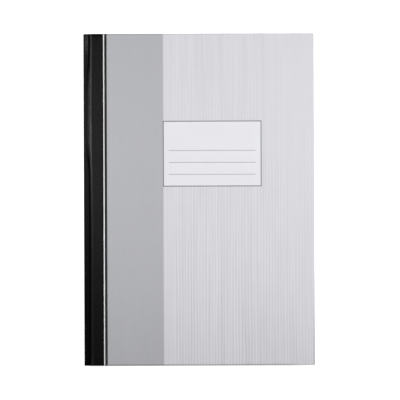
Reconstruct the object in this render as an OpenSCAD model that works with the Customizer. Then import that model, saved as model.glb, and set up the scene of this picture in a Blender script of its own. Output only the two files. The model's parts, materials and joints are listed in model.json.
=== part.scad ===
// Incoming mail register: an A4 book, sewn from folded sheets and hung in a quarter-bound case.
// It lies on its back cover: +X to the fore-edge, +Y to the head, +Z out of the front cover.
// The origin is the middle of the underside. Sizes are in millimetres.

/* [Leaves] */
// Width of a leaf, from its fold to the fore-edge
leaf_w = 206; // [140:1:300]
// Height of a leaf, from tail to head
leaf_h = 297; // [200:1:420]
// Thickness of the writing paper
leaf_t = 0.085; // [0.06:0.005:0.15]
// Air between two sheets that lie on each other
leaf_air = 0.01; // [0.005:0.005:0.04]
// Folded sheets in one gathering, two leaves each
sheets = 4; // [2:1:6]
// Gatherings in the block
gatherings = 12; // [8:1:16]

/* [Endpapers] */
// Thickness of the endpapers
endpaper_t = 0.15; // [0.1:0.01:0.3]
// Air between a closed cover and its flyleaf
cover_air = 0.05; // [0.03:0.01:0.3]

/* [Boards] */
// Thickness of the grey boards
board_t = 2; // [1.5:0.1:4]
// How far the boards stand out past the leaves
square = 3; // [2:0.5:6]
// Width of the groove, from the folds to the board
joint_w = 5; // [4:0.25:9]
// Radius of the boards' worn edges
edge_r = 0.5; // [0.2:0.05:0.7]
// Radius of the boards' two outer corners, seen from above
corner_r = 1; // [0.6:0.1:5]

/* [Covering] */
// Thickness of the cover paper and of the black strip
cover_t = 0.25; // [0.15:0.01:0.5]
// Width of the black strip that shows on the front, from the back of the spine
strip_w = 18.2; // [12:0.1:40]
// How far the covering is turned in behind the boards
turn_in = 15; // [8:1:25]
// Width of the cut between two turned-in flaps at a corner
mitre_w = 0.1; // [0.05:0.05:0.5]
// Radius of the inner corner of the groove
groove_r = 0.9; // [0.4:0.1:1.4]

/* [Spine] */
// Thickness of the card inlay
inlay_t = 0.6; // [0.4:0.1:1.5]
// Radius of the inlay's two long edges
inlay_r = 0.45; // [0.2:0.05:0.6]
// Room between the gauze and the strip turned in behind the inlay
hollow = 0.1; // [0.05:0.05:0.6]
// Thickness of the gauze
gauze_t = 0.2; // [0.1:0.05:0.25]
// How far the gauze stops short of the leaves' ends
gauze_short = 16; // [13:1:40]
// Width of the gauze glued to each board
flange_w = 20; // [10:1:40]
// Gap between the strip's fixed and turning parts
hinge_gap = 0.05; // [0.02:0.01:0.2]

/* [Bands] */
// Thickness of the bead at the head and tail
band_d = 1.6; // [1:0.1:1.8]
// Thickness of a band's tape
tape_t = 0.15; // [0.1:0.05:0.2]
// Length of the tape down the spine
tape_l = 10; // [6:1:12]
// Gap between a bead and the leaves
band_air = 0.05; // [0.02:0.01:0.15]

/* [Sewing] */
// Width of the flattened thread
thread_w = 0.2; // [0.15:0.05:0.4]
// Thickness of the flattened thread
thread_t = 0.09; // [0.05:0.01:0.2]
// Play of the thread in its fold
thread_air = 0.01; // [0.005:0.005:0.05]
// Play of the thread in the slots that it goes through
slot_air = 0.05; // [0.02:0.01:0.2]
// Stitch holes in a fold
stitches = 8; // [4:2:12]
// Distance of the outermost hole from the leaf's end
stitch_end = 24; // [20:1:40]
// Length of the thread's free ends
thread_tail = 4; // [2:0.5:6]

/* [Hidden] */
cover_grey = "#d7d7db";
strip_black = "#201f22";
board_grey = "#9a948a";
page_white = "#f3f1e9";
endpaper_white = "#ecebe6";
gauze_white = "#e6e1d3";
band_white = "#efece4";
thread_white = "#f6f4ee";

// Flats in a quarter round and in a sheet's fold
round_steps = 5;
fold_steps = 6;
// How far a cut runs past the face that it starts from
past = 1;

// One gathering: four sheets nested round a fold that has room for the thread
fold_room = thread_t + 2 * thread_air;
sheet_step = leaf_t + leaf_air;
gathering_t = fold_room + 2 * (sheets * leaf_t + (sheets - 1) * leaf_air);
gathering_step = gathering_t + leaf_air;

// Along X, from the back of the spine to the fore-edge
spine_depth = 2 * cover_t + inlay_t + hollow + gauze_t + thread_w;
total_w = spine_depth + leaf_w + square + cover_t;
spine_x = -total_w / 2;
inlay_x0 = spine_x + cover_t;
inlay_x1 = inlay_x0 + inlay_t;
gauze_x0 = inlay_x1 + cover_t + hollow;
hinge_x = gauze_x0 + gauze_t;
fold_x = hinge_x + thread_w;
fold_mid_x = fold_x + gathering_t / 2;
leaf_x1 = fold_x + leaf_w;
board_x0 = fold_x + joint_w;
board_x1 = leaf_x1 + square;
strip_x1 = spine_x + strip_w;
flange_x0 = board_x0 + edge_r;
flange_x1 = flange_x0 + flange_w;
flap_x = board_x1 - turn_in;

// Along Y, half heights from the middle of the book
leaf_yh = leaf_h / 2;
board_yh = leaf_yh + square;
case_yh = board_yh + cover_t;
flap_yh = board_yh - turn_in;
gauze_yh = leaf_yh - gauze_short;

// Along Z, from the underside up: the block, then what lies above it in the front cover
cover_depth = cover_air + endpaper_t + 2 * cover_t + board_t;
block_t = 2 * endpaper_t + gatherings * gathering_step + leaf_air;
total_t = block_t + 2 * cover_depth;
block_z0 = cover_depth;
block_z1 = block_z0 + block_t;
paste_z0 = block_z1 + cover_air;
paste_z1 = paste_z0 + endpaper_t;
board_z0 = paste_z1 + cover_t;
board_z1 = board_z0 + board_t;

function gathering_z(i) =
    block_z1 - endpaper_t - leaf_air - gathering_t / 2 - (i - 1) * gathering_step;
function stitch_y(k) = -leaf_yh + stitch_end + k * (leaf_h - 2 * stitch_end) / (stitches - 1);
function numbered(name, i) = str(name, "_", i < 10 ? "0" : "", i);

function arc(x, y, r, from, to, steps = round_steps) =
    [for (k = [0:steps]) let (a = from + (to - from) * k / steps) [x + r * cos(a), y + r * sin(a)]];

function round_box(x0, y0, x1, y1, r) = concat(
    arc(x1 - r, y1 - r, r, 0, 90),
    arc(x0 + r, y1 - r, r, 90, 180),
    arc(x0 + r, y0 + r, r, 180, 270),
    arc(x1 - r, y0 + r, r, 270, 360)
);

function left_of(v) = [-v[1], v[0]] / norm(v);

// The points beside a route that turns at right angles, on its left for a positive distance
function beside(route, distance) = let (last = len(route) - 1)
    [for (k = [0:last])
        let (before = left_of(route[max(k, 1)] - route[max(k, 1) - 1]))
        let (after = left_of(route[min(k, last - 1) + 1] - route[min(k, last - 1)]))
        route[k] + distance * (k == 0 || k == last ? before : before + after)];

// The outline of a ribbon of one width along a route
function ribbon(route, width) = let (right = beside(route, -width / 2))
    concat(beside(route, width / 2), [for (k = [len(right) - 1:-1:0]) right[k]]);

// A profile drawn in X and Z, run along Y
module along_y(yh) {
    translate([0, yh, 0]) rotate([90, 0, 0]) linear_extrude(2 * yh) children();
}

// A profile drawn in Y and Z, run along X
module along_x(x0, x1) {
    translate([x0, 0, 0]) rotate([90, 0, 90]) linear_extrude(x1 - x0) children();
}

// A box from corner to corner, the same to both sides of Y = 0
module slab(x0, x1, yh, z0, z1) {
    translate([x0, -yh, z0]) cube([x1 - x0, 2 * yh, z1 - z0]);
}

// The same shape at the head and at the tail
module both_ends() {
    children();
    mirror([0, 1, 0]) children();
}

// What is drawn for the front, turned over to the back of the book
module to_back() {
    translate([0, 0, total_t]) mirror([0, 0, 1]) children();
}

// A board with soft edges and two round outer corners, larger all round by its covering
module soft_board(grow = 0) {
    x0 = board_x0 - grow;
    x1 = board_x1 + grow;
    yh = board_yh + grow;
    z0 = board_z0 - grow;
    z1 = board_z1 + grow;
    r = edge_r + grow;
    corner = corner_r + grow;
    intersection() {
        along_y(yh) polygon(round_box(x0, z0, x1, z1, r));
        along_x(x0 - past, x1 + past) polygon(round_box(-yh, z0, yh, z1, r));
        translate([0, 0, z0 - past]) linear_extrude(z1 - z0 + 2 * past) polygon(concat(
            [[x0, yh], [x0, -yh]],
            arc(x1 - corner, -yh + corner, corner, 270, 360),
            arc(x1 - corner, yh - corner, corner, 0, 90)
        ));
    }
}

module cover_board() {
    color(board_grey) soft_board();
}

// The printed paper: over the board's face, round three edges, and turned in behind them
module cover_paper() {
    color(cover_grey) difference() {
        soft_board(cover_t);
        soft_board();
        slab(spine_x - past, strip_x1, case_yh + past, -past, total_t + past);
        slab(spine_x, flap_x, flap_yh, paste_z1 - past, board_z0);
        both_ends()
            translate([flap_x, flap_yh, paste_z1 - past])
                rotate([0, 0, 45])
                    translate([-mitre_w, -mitre_w / 2, 0])
                        cube([2 * turn_in, mitre_w, cover_t + past]);
    }
}

// The black strip from the hinge line through the groove and over the board, turned in at its ends
module board_strip() {
    wall_x = board_x0 - cover_t;
    color(strip_black) difference() {
        union() {
            soft_board(cover_t);
            along_y(case_yh) polygon(concat(
                [
                    [hinge_x + hinge_gap, board_z0],
                    [hinge_x + hinge_gap, paste_z1],
                    [flange_x0, paste_z1],
                    [flange_x0, board_z0 + groove_r]
                ],
                arc(wall_x - groove_r, board_z0 + groove_r, groove_r, 360, 270)
            ));
        }
        soft_board();
        slab(strip_x1, board_x1 + past, case_yh + past, -past, total_t + past);
        slab(flange_x0, strip_x1 + past, flap_yh, paste_z1 - past, board_z0);
    }
}

// The gauze that holds the block to the board
module gauze_flange() {
    color(gauze_white) slab(flange_x0, flange_x1, gauze_yh, board_z0 - gauze_t, board_z0);
}

// The glued half of the endpaper: over the turned-in flaps, and sunk to the board between them
module pastedown() {
    color(endpaper_white) {
        difference() {
            slab(fold_x, leaf_x1, leaf_yh, paste_z0, paste_z1);
            slab(flange_x1, flap_x, flap_yh, paste_z0 - past, paste_z1 + past);
        }
        difference() {
            slab(flange_x1, flap_x, flap_yh, paste_z0, board_z0);
            slab(
                flange_x1 + endpaper_t, flap_x - endpaper_t, flap_yh - endpaper_t,
                paste_z0 - past, board_z0 - endpaper_t
            );
        }
    }
}

// The free half of the endpaper, on top of the first gathering
module flyleaf() {
    color(endpaper_white) slab(fold_x, leaf_x1, leaf_yh, block_z1 - endpaper_t, block_z1);
}

// The inlay's outline in X and Z, round on its two outer edges
module inlay_outline(grow, x1) {
    x0 = inlay_x0 - grow;
    z0 = total_t - paste_z1 - grow;
    z1 = paste_z1 + grow;
    r = min(inlay_r, inlay_t) + grow;
    polygon(concat(
        [[x1, z0], [x1, z1]],
        arc(x0 + r, z1 - r, r, 90, 180),
        arc(x0 + r, z0 + r, r, 180, 270)
    ));
}

// The strip round the back of the spine, turned in over both ends of the inlay
module spine_strip() {
    flap_z0 = total_t - paste_z1;
    color(strip_black) {
        along_y(case_yh) difference() {
            inlay_outline(cover_t, hinge_x - hinge_gap);
            inlay_outline(0, hinge_x + past);
        }
        both_ends()
            translate([0, (board_yh + case_yh) / 2, 0])
                along_y(cover_t / 2) inlay_outline(0, inlay_x1 + cover_t);
        both_ends()
            translate([inlay_x1, flap_yh, flap_z0])
                cube([cover_t, turn_in, paste_z1 - flap_z0]);
    }
}

module spine_inlay() {
    color(board_grey) along_y(board_yh) inlay_outline(0, inlay_x1);
}

module spine_gauze() {
    color(gauze_white) slab(gauze_x0, hinge_x, gauze_yh, block_z0, block_z1);
}

// A woven bead over the ends of the folds, on a tape glued down the spine
module head_band() {
    bead_y = leaf_yh + band_air + band_d / 2;
    color(band_white) translate([0, 0, block_z0]) linear_extrude(block_t) union() {
        translate([fold_x - tape_t + band_d / 2, bead_y]) circle(d = band_d, $fn = 12);
        translate([fold_x - tape_t, leaf_yh - tape_l]) square([tape_t, bead_y - leaf_yh + tape_l]);
    }
}

module tail_band() {
    mirror([0, 1, 0]) head_band();
}

// One sheet folded in half, seen along the fold; sheet 0 is the outermost of its gathering
module folded_sheet(j) {
    outer = gathering_t / 2 - j * sheet_step;
    inner = outer - leaf_t;
    polygon(concat(
        [[leaf_x1, outer]],
        arc(fold_mid_x, 0, outer, 90, 270, fold_steps),
        [[leaf_x1, -outer], [leaf_x1, -inner]],
        arc(fold_mid_x, 0, inner, 270, 90, fold_steps),
        [[leaf_x1, inner]]
    ));
}

// Four folded sheets, with the slots that the thread goes through
module gathering(i) {
    slot_l = thread_w + 2 * slot_air;
    color(page_white) translate([0, 0, gathering_z(i)]) difference() {
        for (j = [0:sheets - 1]) along_y(leaf_yh) folded_sheet(j);
        for (k = [0:stitches - 1])
            translate([fold_x - past, stitch_y(k) - slot_l / 2, -fold_room / 2])
                cube([past + gathering_t / 2, slot_l, fold_room]);
    }
}

// One gathering's thread: inside its fold, out through a slot, along the back, and in again
module sewing_thread(i) {
    out_x = hinge_x + thread_w / 2;
    in_x = fold_mid_x + thread_w / 2;
    last = stitches - 1;
    route = concat(
        [[out_x, stitch_y(0) - thread_tail]],
        [for (k = [0:last]) each [
            [k % 2 == 0 ? out_x : in_x, stitch_y(k)],
            [k % 2 == 0 ? in_x : out_x, stitch_y(k)]
        ]],
        [[last % 2 == 0 ? in_x : out_x, stitch_y(last) + thread_tail]]
    );
    color(thread_white)
        translate([0, 0, gathering_z(i) - thread_t / 2])
            linear_extrude(thread_t) polygon(ribbon(route, thread_w));
}

cover_paper();  // front_cover_paper
cover_board();  // front_board
board_strip();  // front_spine_strip
gauze_flange();  // front_gauze_flange
pastedown();  // front_pastedown
flyleaf();  // front_flyleaf
to_back() cover_paper();  // back_cover_paper
to_back() cover_board();  // back_board
to_back() board_strip();  // back_spine_strip
to_back() gauze_flange();  // back_gauze_flange
to_back() pastedown();  // back_pastedown
to_back() flyleaf();  // back_flyleaf
spine_strip();
spine_inlay();
spine_gauze();
head_band();
tail_band();
for (i = [1:gatherings]) gathering(i);
for (i = [1:gatherings]) sewing_thread(i);
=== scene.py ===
"""Looks of an incoming mail register, an A4 book sewn and hung in a quarter-bound case.

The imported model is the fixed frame, and gives every place that the pieces here share with it.
The classes dress it from the outside in: the printed paper and the black strip of the case,
the endpapers, the folded sheets, their sewing and the two bands, and then the stage.
Lengths are in metres. The back of the book is its front, turned over.
"""

from __future__ import annotations

import functools
import json
import logging
import math
from dataclasses import dataclass
from enum import Enum

import bmesh
import bpy
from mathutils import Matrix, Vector

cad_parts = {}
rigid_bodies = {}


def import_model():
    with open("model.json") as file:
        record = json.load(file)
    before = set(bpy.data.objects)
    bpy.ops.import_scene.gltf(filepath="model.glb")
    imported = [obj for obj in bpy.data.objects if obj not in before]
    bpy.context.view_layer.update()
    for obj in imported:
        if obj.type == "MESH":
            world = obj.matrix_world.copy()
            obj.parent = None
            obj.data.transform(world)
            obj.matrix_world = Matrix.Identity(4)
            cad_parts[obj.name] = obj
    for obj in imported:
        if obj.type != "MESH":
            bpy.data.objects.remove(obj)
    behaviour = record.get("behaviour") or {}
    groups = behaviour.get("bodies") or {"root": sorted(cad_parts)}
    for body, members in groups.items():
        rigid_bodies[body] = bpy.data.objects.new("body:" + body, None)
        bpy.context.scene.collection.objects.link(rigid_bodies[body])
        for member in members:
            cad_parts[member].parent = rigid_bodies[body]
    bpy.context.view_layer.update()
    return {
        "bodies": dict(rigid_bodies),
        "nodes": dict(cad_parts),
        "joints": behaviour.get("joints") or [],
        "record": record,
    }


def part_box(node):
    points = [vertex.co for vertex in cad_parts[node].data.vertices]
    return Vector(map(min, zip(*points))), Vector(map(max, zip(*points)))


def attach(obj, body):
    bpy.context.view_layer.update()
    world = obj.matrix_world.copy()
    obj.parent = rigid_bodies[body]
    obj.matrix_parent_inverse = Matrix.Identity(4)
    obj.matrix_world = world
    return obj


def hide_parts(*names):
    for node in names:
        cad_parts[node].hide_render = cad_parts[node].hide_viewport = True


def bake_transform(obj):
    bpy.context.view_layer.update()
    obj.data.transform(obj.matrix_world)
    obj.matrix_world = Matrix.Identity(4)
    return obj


LOG = logging.getLogger("mail_register")
MM = 0.001
FULL_TURN = 2 * math.pi
PATTERN_MAP = "Pattern"
LEAF_NUMBER = "leaf"
SHEET_NUMBER = "sheet"
SHARP_ANGLE = math.radians(35)
SAME_POINT = 1e-7
# Numbers of sockets that share their name with others of the same node.
MIX_SHARE, MIX_FIRST, MIX_SECOND = 0, 6, 7
MIX_RESULT = 2
RANDOM_LOW, RANDOM_HIGH = 2, 3
RANDOM_RESULT = 1

Point = tuple[float, float]
Place = tuple[float, float, float]
Colour = tuple[float, float, float, float]
Sizes = dict[str, int | float | Place]


def srgb(red: int, green: int, blue: int) -> Colour:
    """Linear colour of a screen colour.

    Args:
        red: Red from 0 to 255.
        green: Green from 0 to 255.
        blue: Blue from 0 to 255.

    Returns:
        The colour as linear red, green, blue and alpha.
    """
    shares = [value / 255 for value in (red, green, blue)]
    linear = [s / 12.92 if s <= 0.04045 else ((s + 0.055) / 1.055) ** 2.4 for s in shares]
    return (*linear, 1.0)


def spaced(start: float, end: float, steps: int) -> list[float]:
    """Values at even steps from start to end, both included."""
    return [start + (end - start) * k / steps for k in range(steps + 1)]


def smooth(value: float) -> float:
    """A soft step that rises from 0 to 1 as value goes from 0 to 1."""
    t = min(max(value, 0.0), 1.0)
    return t * t * (3 - 2 * t)


def arc(centre: Point, radius: float, start: float, end: float, steps: int = 6) -> list[Point]:
    """Points along part of a circle.

    Args:
        centre: Middle of the circle.
        radius: Its radius.
        start: Angle of the first point, in degrees.
        end: Angle of the last point, in degrees.
        steps: Number of stretches between the points.

    Returns:
        The points in order.
    """
    turns = [math.radians(a) for a in spaced(start, end, steps)]
    return [(centre[0] + radius * math.cos(a), centre[1] + radius * math.sin(a)) for a in turns]


def placed(name: str, data: bpy.types.ID) -> bpy.types.Object:
    """Puts a new object with that data into the scene.

    Args:
        name: Name of the object.
        data: Its mesh, lamp or camera.

    Returns:
        The object.
    """
    obj = bpy.data.objects.new(name, data)
    bpy.context.scene.collection.objects.link(obj)
    return obj


class Side(Enum):
    """The two covers of the book."""

    FRONT = "front"
    BACK = "back"

    def named(self, piece: str) -> str:
        """Name of one of this cover's nodes, bodies or pieces."""
        return f"{self.value}_{piece}"


@dataclass(frozen=True)
class Box:
    """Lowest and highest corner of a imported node."""

    low: Vector
    high: Vector

    @classmethod
    def of(cls, node: str) -> Box:
        """Box of the node of that name."""
        return cls(*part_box(node))

    @property
    def middle_z(self) -> float:
        """Height of the box's middle."""
        return (self.low.z + self.high.z) / 2

    @property
    def height(self) -> float:
        """Size of the box upwards."""
        return self.high.z - self.low.z


@dataclass(frozen=True)
class BookFrame:
    """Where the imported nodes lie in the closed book; a cover's boxes are the front one's."""

    paper: Box
    strip: Box
    board: Box
    flange: Box
    pastedown: Box
    flyleaf: Box
    spine: Box
    inlay: Box
    band: Box
    gatherings: tuple[Box, ...]
    hinge: Vector
    edge_radius: float = 0.5 * MM
    turn_in: float = 15 * MM

    @classmethod
    def read(cls, frame: dict) -> BookFrame:
        """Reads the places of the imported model.

        Args:
            frame: What loading the model gave.

        Returns:
            The places by name.
        """
        sheets = sorted(name for name in frame["nodes"] if name.startswith("gathering_"))
        hinge = next(j for j in frame["joints"] if j["child"] == Side.FRONT.named("cover"))
        return cls(
            paper=Box.of("front_cover_paper"),
            strip=Box.of("front_spine_strip"),
            board=Box.of("front_board"),
            flange=Box.of("front_gauze_flange"),
            pastedown=Box.of("front_pastedown"),
            flyleaf=Box.of("front_flyleaf"),
            spine=Box.of("spine_strip"),
            inlay=Box.of("spine_inlay"),
            band=Box.of("head_band"),
            gatherings=tuple(Box.of(name) for name in sheets),
            hinge=Vector(hinge["pos_m"]),
        )

    @property
    def thickness(self) -> float:
        """Thickness of the closed book."""
        return self.paper.high.z

    @property
    def covering(self) -> float:
        """Thickness of the paper and of the strip on the boards."""
        return self.paper.high.y - self.board.high.y

    def bend(self, piece: bpy.types.Object, side: Side, body: str, x: float, end_x: float) -> None:
        """Bakes a piece's place into its mesh; the bend at a cover's hinge, from the block to
        another body, is not made.

        Args:
            piece: The piece.
            side: The cover that it would bend with; the hinge's height worked out from it is not
                used.
            body: What it would move with past the bend; not used.
            x: Where the bend would start; not used.
            end_x: Where it would end; not used.
        """
        z = self.hinge.z if side is Side.FRONT else self.thickness - self.hinge.z
        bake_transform(piece)


@dataclass
class Shape:
    """A mesh in the making: points, faces, and each point's place in its flat pattern."""

    points: list[Place]
    faces: list[tuple[int, ...]]
    pattern: list[Point]

    @classmethod
    def grid(cls, rows: list[list[Place]], pattern: list[list[Point]] | None = None) -> Shape:
        """Joins rows of points by four-sided faces.

        Args:
            rows: Rows of points, all of one length.
            pattern: The flat place of each point, in the same rows, if not as seen from above.

        Returns:
            The joined shape, which faces where along the row times across the rows points.
        """
        width = len(rows[0])
        points = [point for row in rows for point in row]
        flat = [place for row in pattern for place in row] if pattern else [p[:2] for p in points]
        corners = [r * width + c for r in range(len(rows) - 1) for c in range(width - 1)]
        faces = [(k, k + 1, k + 1 + width, k + width) for k in corners]
        return cls(points, faces, flat)

    def on(self, side: Side, thickness: float) -> Shape:
        """The front cover's shape on either cover.

        Args:
            side: The cover.
            thickness: Thickness of the closed book.

        Returns:
            The shape there.
        """
        if side is Side.FRONT:
            return self
        points = [(x, y, thickness - z) for x, y, z in self.points]
        return Shape(points, [face[::-1] for face in self.faces], self.pattern)

    def piece(self, name: str, finish: Finish, wall: float) -> bpy.types.Object:
        """Makes an object of the shape.

        Args:
            name: Name of the piece.
            finish: What its surface is.
            wall: Thickness to give the faces, behind them.

        Returns:
            The object, with a plain mesh.
        """
        mesh = bpy.data.meshes.new(name)
        mesh.from_pydata(self.points, [], self.faces)
        flat = mesh.uv_layers.new(name=PATTERN_MAP)
        for loop in mesh.loops:
            flat.data[loop.index].uv = self.pattern[loop.vertex_index]
        work = bmesh.new()
        work.from_mesh(mesh)
        bmesh.ops.remove_doubles(work, verts=work.verts, dist=SAME_POINT)
        work.to_mesh(mesh)
        work.free()
        mesh.materials.append(finish.material())
        obj = placed(name, mesh)
        solidify = obj.modifiers.new("Wall", "SOLIDIFY")
        solidify.thickness = wall
        solidify.offset = -1
        return plain(obj)


def plain(obj: bpy.types.Object) -> bpy.types.Object:
    """Applies an object's modifiers and shades its mesh.

    Args:
        obj: The object.

    Returns:
        The same object, with its final mesh and its materials.
    """
    depsgraph = bpy.context.evaluated_depsgraph_get()
    mesh = bpy.data.meshes.new_from_object(obj.evaluated_get(depsgraph))
    obj.modifiers.clear()
    obj.data = mesh
    mesh.name = obj.name
    mesh.shade_smooth()
    mesh.set_sharp_from_angle(angle=SHARP_ANGLE)
    LOG.info("%s: %d faces", obj.name, len(mesh.polygons))
    return obj


@dataclass(frozen=True, eq=False)
class Value:
    """An output of a node, by name or number, which can be reckoned with like a number."""

    graph: Graph
    node: bpy.types.Node
    key: int | str = 0

    def out(self, key: int | str) -> Value:
        """Another output of the same node."""
        return Value(self.graph, self.node, key)

    def __add__(self, other: Input) -> Value:
        """This value plus another."""
        return self.graph.math("ADD", self, other)

    def __sub__(self, other: Input) -> Value:
        """This value less another."""
        return self.graph.math("SUBTRACT", self, other)

    def __rsub__(self, other: float) -> Value:
        """A number less this value."""
        return self.graph.math("SUBTRACT", other, self)

    def __mul__(self, other: Input) -> Value:
        """This value times another."""
        return self.graph.math("MULTIPLY", self, other)

    def __truediv__(self, other: Input) -> Value:
        """This value over another."""
        return self.graph.math("DIVIDE", self, other)

    def __rtruediv__(self, other: float) -> Value:
        """A number over this value."""
        return self.graph.math("DIVIDE", other, self)

    def __pow__(self, other: Input) -> Value:
        """This value to a power."""
        return self.graph.math("POWER", self, other)

    def __abs__(self) -> Value:
        """This value without its sign."""
        return self.graph.math("ABSOLUTE", self)


Input = Value | int | float | str | tuple


class Graph:
    """Short calls that add nodes to one tree and join them."""

    def __init__(self, tree: bpy.types.NodeTree) -> None:
        """Takes the tree that the nodes go into."""
        self.tree = tree
        self.given: dict[str, Value] = {}

    @classmethod
    def of(cls, owner: bpy.types.Material | bpy.types.World) -> Graph:
        """Empties the tree of a material or a world.

        Args:
            owner: The material or world.

        Returns:
            A graph of the tree.
        """
        owner.use_nodes = True
        owner.node_tree.nodes.clear()
        return cls(owner.node_tree)

    @classmethod
    def group(cls, kind: str, name: str, inputs: dict[str, str], outputs: dict[str, str]) -> Graph:
        """Starts a node group.

        Args:
            kind: Type of the tree.
            name: Its name.
            inputs: Kind of socket for each named input.
            outputs: Kind of socket for each named output.

        Returns:
            A graph of the new group, with its inputs as given values.
        """
        graph = cls(bpy.data.node_groups.new(name, kind))
        sockets = graph.tree.interface
        for way, listed in (("INPUT", inputs), ("OUTPUT", outputs)):
            for label, socket in listed.items():
                sockets.new_socket(label, in_out=way, socket_type=f"NodeSocket{socket}")
        entry = graph.add("NodeGroupInput")
        graph.given = {label: entry.out(label) for label in inputs}
        return graph

    @classmethod
    def geometry(cls, name: str, sizes: Sizes) -> Graph:
        """Starts a tree of geometry nodes.

        Args:
            name: Its name.
            sizes: Sizes by name; each makes an input of its kind.

        Returns:
            A graph of the tree, with the sizes and the finish as given values.
        """
        kinds = {int: "Int", float: "Float", tuple: "Vector"}
        named = {label: kinds[type(size)] for label, size in sizes.items()}
        inputs = {"Geometry": "Geometry", **named, "Finish": "Material"}
        return cls.group("GeometryNodeTree", name, inputs, {"Geometry": "Geometry"})

    def ended(self, results: dict[str, Value]) -> bpy.types.NodeTree:
        """Feeds a group's outputs and gives its tree."""
        self.add("NodeGroupOutput", results)
        return self.tree

    def dressed(self, geometry: Value) -> bpy.types.NodeTree:
        """Ends a tree of geometry nodes.

        Args:
            geometry: What the tree has made.

        Returns:
            The tree, with its geometry made real and the finish put on it.
        """
        real = self.add("GeometryNodeRealizeInstances", {"Geometry": geometry})
        inputs = {"Geometry": real, "Material": self.given["Finish"]}
        return self.ended({"Geometry": self.add("GeometryNodeSetMaterial", inputs)})

    def feed(self, socket: bpy.types.NodeSocket, value: Input) -> None:
        """Joins a socket to a value of the tree, or sets it.

        Args:
            socket: The socket.
            value: What it gets.
        """
        if isinstance(value, Value):
            self.tree.links.new(value.node.outputs[value.key], socket)
        else:
            socket.default_value = value

    def add(self, kind: str, inputs: dict | None = None, **settings: object) -> Value:
        """Adds a node.

        Args:
            kind: Type of the node.
            inputs: Values for its inputs, by name or number.
            settings: The node's own settings.

        Returns:
            The node's first output.
        """
        node = self.tree.nodes.new(kind)
        for name, value in settings.items():
            setattr(node, name, value)
        for key, value in (inputs or {}).items():
            self.feed(node.inputs[key], value)
        return Value(self, node)

    def math(self, operation: str, *values: Input) -> Value:
        """Result of a sum on one or two values."""
        return self.add("ShaderNodeMath", dict(enumerate(values)), operation=operation)

    def wave(self, value: Value, pitch: Input) -> Value:
        """A sine wave of that pitch, from 0 to 1."""
        return self.math("SINE", value * (FULL_TURN / pitch)) * 0.5 + 0.5

    def step(self, value: Input, low: float, high: float) -> Value:
        """A soft step from 0 to 1 as value goes from low to high."""
        inputs = {"Value": value, "From Min": low, "From Max": high}
        return self.add("ShaderNodeMapRange", inputs, interpolation_type="SMOOTHSTEP")

    def past(self, value: Input, place: float, soft: float) -> Value:
        """0 where value is under a place and 1 where it is over it, with a soft edge."""
        return self.step(value, place - soft, place + soft)

    def between(self, value: Input, low: float, high: float, soft: float) -> Value:
        """1 where value lies from low to high and 0 elsewhere, with soft edges."""
        return self.past(value, low, soft) - self.past(value, high, soft)

    def mix(self, share: Input, first: Input, second: Input, blend: str = "MIX") -> Value:
        """Colour that goes from the first to the second as share goes from 0 to 1."""
        colours = {MIX_SHARE: share, MIX_FIRST: first, MIX_SECOND: second}
        mixed = self.add("ShaderNodeMix", colours, data_type="RGBA", blend_type=blend)
        return mixed.out(MIX_RESULT)

    def tinted(self, colour: Input, tone: Input) -> Value:
        """A colour times a tone."""
        return self.mix(1.0, colour, tone, "MULTIPLY")

    def split(self, vector: Value) -> tuple[Value, Value, Value]:
        """The three parts of a vector."""
        parts = self.add("ShaderNodeSeparateXYZ", {"Vector": vector})
        return parts.out("X"), parts.out("Y"), parts.out("Z")

    def joined(self, x: Input, y: Input, z: Input = 0.0) -> Value:
        """A vector from its three parts."""
        return self.add("ShaderNodeCombineXYZ", {"X": x, "Y": y, "Z": z})

    def scaled(self, vector: Value, x: float, y: float, z: float) -> Value:
        """A vector with each part times its own factor."""
        inputs = {0: vector, 1: (x, y, z)}
        return self.add("ShaderNodeVectorMath", inputs, operation="MULTIPLY")

    def noise(self, vector: Value, scale: Input, detail: float) -> Value:
        """Soft random values from 0 to 1."""
        inputs = {"Vector": vector, "Scale": scale, "Detail": detail}
        return self.add("ShaderNodeTexNoise", inputs)

    def place(self) -> Value:
        """Where a point lies in the book."""
        return self.add("ShaderNodeTexCoord").out("Object")

    def pattern(self) -> Value:
        """Where a point lies in its piece's flat pattern."""
        return self.add("ShaderNodeUVMap", uv_map=PATTERN_MAP)

    def raised(self, height: Value, depth: float) -> Value:
        """Normal of a surface raised by up to depth."""
        inputs = {"Height": height, "Distance": depth, "Strength": 1.0}
        return self.add("ShaderNodeBump", inputs)

    def effect(self, tree: bpy.types.NodeTree, **inputs: Input) -> Value:
        """Places a shared effect; its inputs are named here in small letters."""
        named = {key.replace("_", " ").title(): value for key, value in inputs.items()}
        return self.add("ShaderNodeGroup", named, node_tree=tree)

    def point(self) -> Value:
        """Where a point of a geometry lies."""
        return self.add("GeometryNodeInputPosition")

    def put(self, geometry: Value, position: Value) -> Value:
        """A geometry with its points at new places."""
        return self.add("GeometryNodeSetPosition", {"Geometry": geometry, "Position": position})

    def moved(self, geometry: Value, by: Value) -> Value:
        """A geometry moved as a whole."""
        return self.add("GeometryNodeTransform", {"Geometry": geometry, "Translation": by})

    def copied(self, points: Value, instance: Value) -> Value:
        """A copy of one geometry on each of some points."""
        inputs = {"Points": points, "Instance": instance}
        return self.add("GeometryNodeInstanceOnPoints", inputs)

    def swept(self, curve: Value, profile: Value) -> Value:
        """A solid rod along a curve."""
        inputs = {"Curve": curve, "Profile Curve": profile, "Fill Caps": True}
        return self.add("GeometryNodeCurveToMesh", inputs)

    def together(self, *parts: Value) -> Value:
        """Some geometries as one.

        Args:
            parts: The geometries.

        Returns:
            The whole.
        """
        whole = self.add("GeometryNodeJoinGeometry")
        for part in parts:
            self.feed(whole.node.inputs[0], part)
        return whole

    def stored(self, geometry: Value, name: str, value: Value, kind: str, domain: str) -> Value:
        """A geometry with a named attribute of that kind on its points, corners or copies."""
        inputs = {"Geometry": geometry, "Name": name, "Value": value}
        return self.add("GeometryNodeStoreNamedAttribute", inputs, data_type=kind, domain=domain)


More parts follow.
